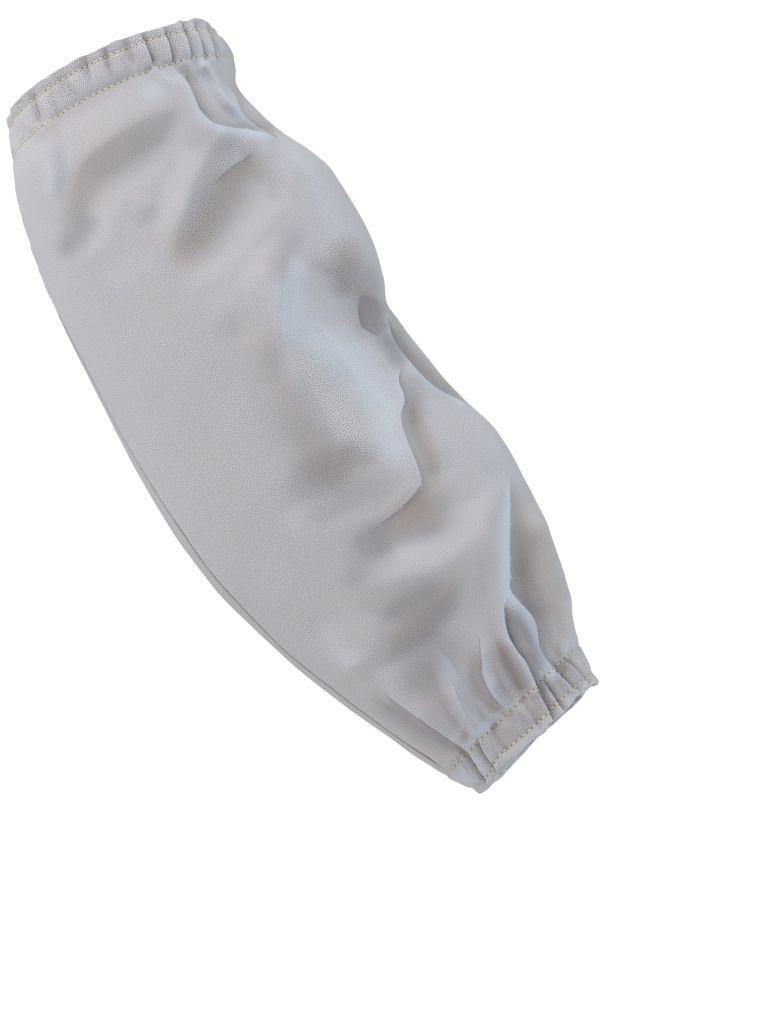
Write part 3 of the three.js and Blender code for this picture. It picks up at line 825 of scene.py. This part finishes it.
leather_mesh = bpy.data.meshes.new("sleeve_leather")
leather_mesh.from_pydata(vertices.tolist(), [], faces)
leather_mesh.validate()
leather_mesh.shade_smooth()
leather_mesh.set_sharp_from_angle(angle=WALL_ANGLE)
# One attribute carries the painted highlight, painted brown shade, painted grey shade and the pebbles.
painted_light_and_pebbles = np.zeros((len(vertices), 4))
outer_start = len(upper_shown) * fine_count
for channel, amount in enumerate((painted_highlight, shaded, painted_shade_grey, pebbled)):
    painted_light_and_pebbles[outer_start:outer_start + amount.size, channel] = np.clip(amount, 0, 1).ravel()
leather_mesh.attributes.new("painted_light_and_pebbles", "FLOAT_COLOR", "POINT").data.foreach_set("color", painted_light_and_pebbles.ravel())
leather = bpy.data.objects.new("sleeve_leather", leather_mesh)
bpy.context.scene.collection.objects.link(leather)


# The look of the leather. Its lengths are in metres, and the tints multiply the dye.
FIBRE_SCALE = 1400
FIBRE_STEP = 0.0003
FIBRE_SIDES = 4
PLAIN_GRAIN = 2.25
PEBBLED_GRAIN = 3.2
BUMP_DEPTH = 0.0004
WARM_DYE = (0.494, 0.47, 0.484, 1)
COOL_DYE = (0.486, 0.478, 0.502, 1)
# Tints of the painted highlight, the painted brown shade and the painted grey shade.
PAINTED_HIGHLIGHTS_TINT = (1.09, 1.18, 1.26, 1)
SHADED_TINT = (0.96, 0.885, 0.81, 1)
PAINTED_SHADE_GREY_TINT = (0.6, 0.6, 0.62, 1)


def put(tree, socket, value):
    """Fills in a socket, or links it to another one."""
    if isinstance(value, bpy.types.NodeSocket):
        tree.links.new(value, socket)
    else:
        socket.default_value = value


def node(tree, kind, *values, **named):
    """A shader node with its settings and sockets filled in, by name or in order."""
    made = tree.nodes.new(kind)
    for name, value in named.items():
        if name in made.inputs:
            put(tree, made.inputs[name], value)
        else:
            setattr(made, name, value)
    for socket, value in zip(made.inputs, values):
        put(tree, socket, value)
    return made


def new_material(name, values):
    """A material, its node tree, and its shader with the sockets filled in."""
    material = bpy.data.materials.new(name)
    material.use_nodes = True
    tree = material.node_tree
    shader = tree.nodes["Principled BSDF"]
    for socket, value in values.items():
        shader.inputs[socket].default_value = value
    return material, tree, shader


def places_on_piece(tree):
    return node(tree, "ShaderNodeTexCoord").outputs["Object"]


def speckle(tree, place, **values):
    return node(tree, "ShaderNodeTexNoise", Vector=place, **values).outputs["Fac"]


def vector(tree, operation, *values):
    return node(tree, "ShaderNodeVectorMath", *values, operation=operation).outputs["Vector"]


def multiply_add(tree, *values):
    return node(tree, "ShaderNodeMath", *values, operation="MULTIPLY_ADD").outputs["Value"]


def ramp(tree, amount, *stops):
    """Colour that runs from one stop to the next by an amount. A stop is a position and a colour."""
    made = node(tree, "ShaderNodeValToRGB", Fac=amount)
    for element, (position, colour) in zip(made.color_ramp.elements, stops):
        element.position = position
        element.color = colour
    return made.outputs["Color"]


def tinted(tree, colour, amount, by):
    """A colour multiplied by another one, as far as the amount says."""
    mix = node(tree, "ShaderNodeMix", data_type="RGBA", blend_type="MULTIPLY")
    for socket, value in ((0, amount), (6, colour), (7, by)):
        put(tree, mix.inputs[socket], value)
    return mix.outputs[2]


def bumped(tree, shader, amount, strength):
    bump = node(tree, "ShaderNodeBump", Strength=strength, Distance=BUMP_DEPTH, Height=amount)
    put(tree, shader.inputs["Normal"], bump.outputs["Normal"])


def suede():
    """Napped grey split: mottled dye, a grain of short fibres with a painted light and shade of their
    relief, the painted highlight and shade tints, and fine pebbles. The grain is how far a fibre stands over
    those beside it, round the sleeve and along it, painted lighter where it stands higher and darker where
    it lies lower."""
    material, tree, shader = new_material("grey_split_suede", {
        "Roughness": 0.95, "Specular IOR Level": 0.12, "Sheen Weight": 0.18, "Sheen Roughness": 0.6})
    place = places_on_piece(tree)
    out = node(tree, "ShaderNodeNewGeometry").outputs["Normal"]
    ring_way = vector(tree, "NORMALIZE", vector(tree, "CROSS_PRODUCT", out, (0, 0, 1)))
    long_way = vector(tree, "CROSS_PRODUCT", out, ring_way)
    # Random fibre grain, painted lighter where a fibre stands over those beside it and darker where it lies
    # under them: a painted light and shade of the relief.
    grain_and_relief_shade = speckle(tree, place, Scale=FIBRE_SCALE, Detail=0)
    for way in (ring_way, long_way):
        for step in (FIBRE_STEP, -FIBRE_STEP):
            beside = vector(tree, "MULTIPLY_ADD", way, (step, step, step), place)
            fibre = speckle(tree, beside, Scale=FIBRE_SCALE, Detail=0)
            grain_and_relief_shade = multiply_add(tree, fibre, -1 / FIBRE_SIDES, grain_and_relief_shade)
    painted_light_and_pebble_attribute = node(tree, "ShaderNodeAttribute", attribute_name="painted_light_and_pebbles")
    amounts = node(tree, "ShaderNodeSeparateColor", Color=painted_light_and_pebble_attribute.outputs["Color"])
    coarse = multiply_add(tree, painted_light_and_pebble_attribute.outputs["Alpha"], PEBBLED_GRAIN, PLAIN_GRAIN)
    mottle = speckle(tree, place, Scale=110, Detail=3, Roughness=0.6)
    colour = ramp(tree, mottle, (0.3, WARM_DYE), (0.72, COOL_DYE))
    colour = tinted(tree, colour, 1.0, multiply_add(tree, grain_and_relief_shade, coarse, 1.0))
    # The painted highlight and the two painted shades multiply the dye.
    for channel, by in (("Red", PAINTED_HIGHLIGHTS_TINT), ("Green", SHADED_TINT), ("Blue", PAINTED_SHADE_GREY_TINT)):
        colour = tinted(tree, colour, amounts.outputs[channel], by)
    put(tree, shader.inputs["Base Color"], colour)
    bumped(tree, shader, speckle(tree, place, Scale=2200, Detail=0, Roughness=0.5), 0.4)
    return material


leather_mesh.materials.append(suede())
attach(leather, "root")
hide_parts("sleeve_panel")

# Elastic bands
# Flat woven elastic, sewn into a ring at each end of the sleeve and closed in its casing, so that only
# the gathers show where it lies.
def woven_elastic():
    material, tree, shader = new_material("woven_elastic", {"Roughness": 0.85})
    place = places_on_piece(tree)
    ribs = node(tree, "ShaderNodeTexWave", Vector=place, Scale=400, Distortion=0.5, bands_direction="Z")
    rib = ribs.outputs["Fac"]
    shade = ramp(tree, rib, (0, (0.62, 0.6, 0.54, 1)), (1, (0.8, 0.78, 0.72, 1)))
    put(tree, shader.inputs["Base Color"], shade)
    bumped(tree, shader, rib, 0.5)
    return material


elastic_material = woven_elastic()
for name in ("upper_elastic", "wrist_elastic"):
    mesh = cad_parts[name].data
    mesh.materials.clear()
    mesh.materials.append(elastic_material)

# Stitching
# Yellow twisted thread in lock stitch: two rows round each cuff, one beside the rim and one under the
# elastic. Each stitch dives into the leather at both ends.
STITCH_PITCH = 3.3
STITCH_LENGTH = 2.6
THREAD_RADIUS = 0.38
STITCH_SIDES = 6
STITCH_RINGS = 7
HOLE_RADIUS = 0.42
HOLE_LIFT = 0.15
STITCH_RISE = 0.5 * THREAD_RADIUS
STITCH_DIVE = 1.1 * THREAD_RADIUS
STITCH_TAPER = 0.45


def yellow_thread():
    material, tree, shader = new_material("yellow_thread", {"Roughness": 0.7, "Sheen Weight": 0.2})
    plies = speckle(tree, places_on_piece(tree), Scale=900, Detail=2)
    shade = ramp(tree, plies, (0, (0.58, 0.51, 0.29, 1)), (1, (0.84, 0.78, 0.54, 1)))
    put(tree, shader.inputs["Base Color"], shade)
    return material


def place_piece(name, points, polygons, material):
    """A mesh of points in millimetres that rides with the sleeve."""
    mesh = bpy.data.meshes.new(name)
    mesh.from_pydata((np.array(points) * MM).tolist(), [], polygons)
    mesh.shade_smooth()
    mesh.materials.append(material)
    piece = bpy.data.objects.new(name, mesh)
    bpy.context.scene.collection.objects.link(piece)
    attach(piece, "root")


def stitch_row(name, down):
    """One row of stitches round the sleeve: short bowed threads on the leather, and between them small flat
    dark discs that paint the shade inside the needle's holes."""
    out = out_of(blur(outer, 1, 2))
    i = int(np.abs(leather_downs - down).argmin())
    line = np.concatenate([outer[i], outer[i][:1]])
    normals = np.concatenate([out[i], out[i][:1]])
    arc = np.concatenate([[0], np.cumsum(np.linalg.norm(np.diff(line, axis=0), axis=1))])
    count = int(arc[-1] / STITCH_PITCH)
    points = []
    rings = []
    hole_points = []
    holes = []
    spread = np.linspace(-1, 1, STITCH_RINGS)
    turns = np.arange(STITCH_SIDES) * 2 * math.pi / STITCH_SIDES
    for k in range(count):
        places = (k + 0.5) * arc[-1] / count + spread * STITCH_LENGTH / 2
        places = np.append(places, (k + 1) * arc[-1] / count)
        path = np.stack([np.interp(places, arc, line[:, c]) for c in range(3)], -1)
        up = unit(np.stack([np.interp(places, arc, normals[:, c]) for c in range(3)], -1))
        hole_middle = path[-1] + HOLE_LIFT * up[-1]
        hole_side = unit(path[-1] - path[-2])
        hole_rise = np.cross(up[-1], hole_side)
        holes.append(tuple(range(len(hole_points), len(hole_points) + STITCH_SIDES)))
        hole_points.extend(
            hole_middle + HOLE_RADIUS * (math.cos(turn) * hole_side + math.sin(turn) * hole_rise)
            for turn in turns)
        path = path[:-1]
        up = up[:-1]
        bow = np.abs(spread) ** 3
        path = path + up * (STITCH_RISE - STITCH_DIVE * bow)[:, None]
        ahead = unit(np.gradient(path, axis=0))
        beside = unit(np.cross(ahead, up))
        lift = unit(np.cross(beside, ahead))
        radius = THREAD_RADIUS * (1 - STITCH_TAPER * bow)
        first = len(points)
        for turn in turns:
            points.extend(path + radius[:, None] * (math.cos(turn) * beside + math.sin(turn) * lift))
        for s in range(STITCH_SIDES):
            a = first + s * STITCH_RINGS
            b = first + (s + 1) % STITCH_SIDES * STITCH_RINGS
            rings.extend((a + r, a + r + 1, b + r + 1, b + r) for r in range(STITCH_RINGS - 1))
        rings.append(tuple(first + s * STITCH_RINGS for s in range(STITCH_SIDES)))
        rings.append(tuple(first + s * STITCH_RINGS + STITCH_RINGS - 1 for s in range(STITCH_SIDES))[::-1])
    place_piece(name + "_stitches", points, rings, thread)
    place_piece(name + "_painted_shade_of_needle_pits", hole_points, holes, hole_shade)


thread = yellow_thread()
# Painted shade: flat dark discs over the leather stand in for the shade inside the needle's holes.
hole_shade = new_material("painted_shade_of_needle_pit", {"Base Color": (0.17, 0.145, 0.115, 1), "Roughness": 1.0})[0]
stitch_row("upper_rim", -CASING_HALF)
stitch_row("upper_casing", CASING_HALF)
stitch_row("wrist_casing", WRIST_DOWN - CASING_HALF)
stitch_row("wrist_rim", WRIST_DOWN + CASING_HALF)

# Studio
# A plain pale floor far under the hanging sleeve, a room that looks white and throws a warm soft light, and
# five cooler soft lights: on the crook side, above the upper cuff, in front, on the elbow side and behind.
FLOOR_DOWN = 1.2
FLOOR_SIZE = 3.2
SOFTBOX_SIZE = 0.8
SOFTBOX_DISTANCE = 1.7
LIGHT_TARGET = Vector((-0.013, 0, -0.19))


def floor():
    mesh = bpy.data.meshes.new("floor")
    half = FLOOR_SIZE / 2
    corners = [(-half, -half), (half, -half), (half, half), (-half, half)]
    mesh.from_pydata([(x, y, -FLOOR_DOWN) for x, y in corners], [], [(0, 1, 2, 3)])
    pale = new_material("pale_floor", {"Base Color": (0.9, 0.9, 0.9, 1), "Roughness": 0.9})[0]
    mesh.materials.append(pale)
    piece = bpy.data.objects.new("floor", mesh)
    bpy.context.scene.collection.objects.link(piece)


def softbox(name, turn, rise, power, colour):
    """A square soft light. turn goes round the sleeve as it is seen, from 0 on the crook side to 90 above
    the upper cuff and 180 on the elbow side, and rise lifts the light towards the viewer, in degrees."""
    data = bpy.data.lights.new(name, "AREA")
    data.size = SOFTBOX_SIZE
    data.energy = power
    data.color = colour
    light = bpy.data.objects.new(name, data)
    bpy.context.scene.collection.objects.link(light)
    turn = math.radians(turn)
    rise = math.radians(rise)
    ray = math.cos(rise) * (math.cos(turn) * side + math.sin(turn) * head) - math.sin(rise) * look
    light.location = LIGHT_TARGET + Vector(ray) * SOFTBOX_DISTANCE
    light.rotation_euler = (LIGHT_TARGET - light.location).to_track_quat("-Z", "Y").to_euler()


floor()
softbox("crook", -10, 25, 14.7, (0.6, 0.85, 1.0))
softbox("overhead", 90, 20, 17.0, (0.93, 0.95, 1.0))
softbox("front", 90, 50, 1.6, (0.74, 0.87, 1.0))
softbox("elbow", 165, 18, 13.9, (0.7, 0.88, 1.0))
softbox("back", 90, -68, 10.0, (0.72, 0.9, 1.0))
world = bpy.data.worlds.new("white_room")
world.use_nodes = True
bpy.context.scene.world = world
tree = world.node_tree
backdrop = tree.nodes["Background"]
backdrop.inputs["Color"].default_value = (1, 0.8, 0.67, 1)
backdrop.inputs["Strength"].default_value = 0.436
bright = node(tree, "ShaderNodeBackground", Color=(1, 1, 1, 1), Strength=1.05)
ray_kind = node(tree, "ShaderNodeLightPath").outputs["Is Camera Ray"]
lights = (backdrop.outputs["Background"], bright.outputs["Background"])
choose = node(tree, "ShaderNodeMixShader", ray_kind, *lights)
tree.links.new(choose.outputs["Shader"], tree.nodes["World Output"].inputs["Surface"])
bpy.context.scene.view_settings.view_transform = "Standard"
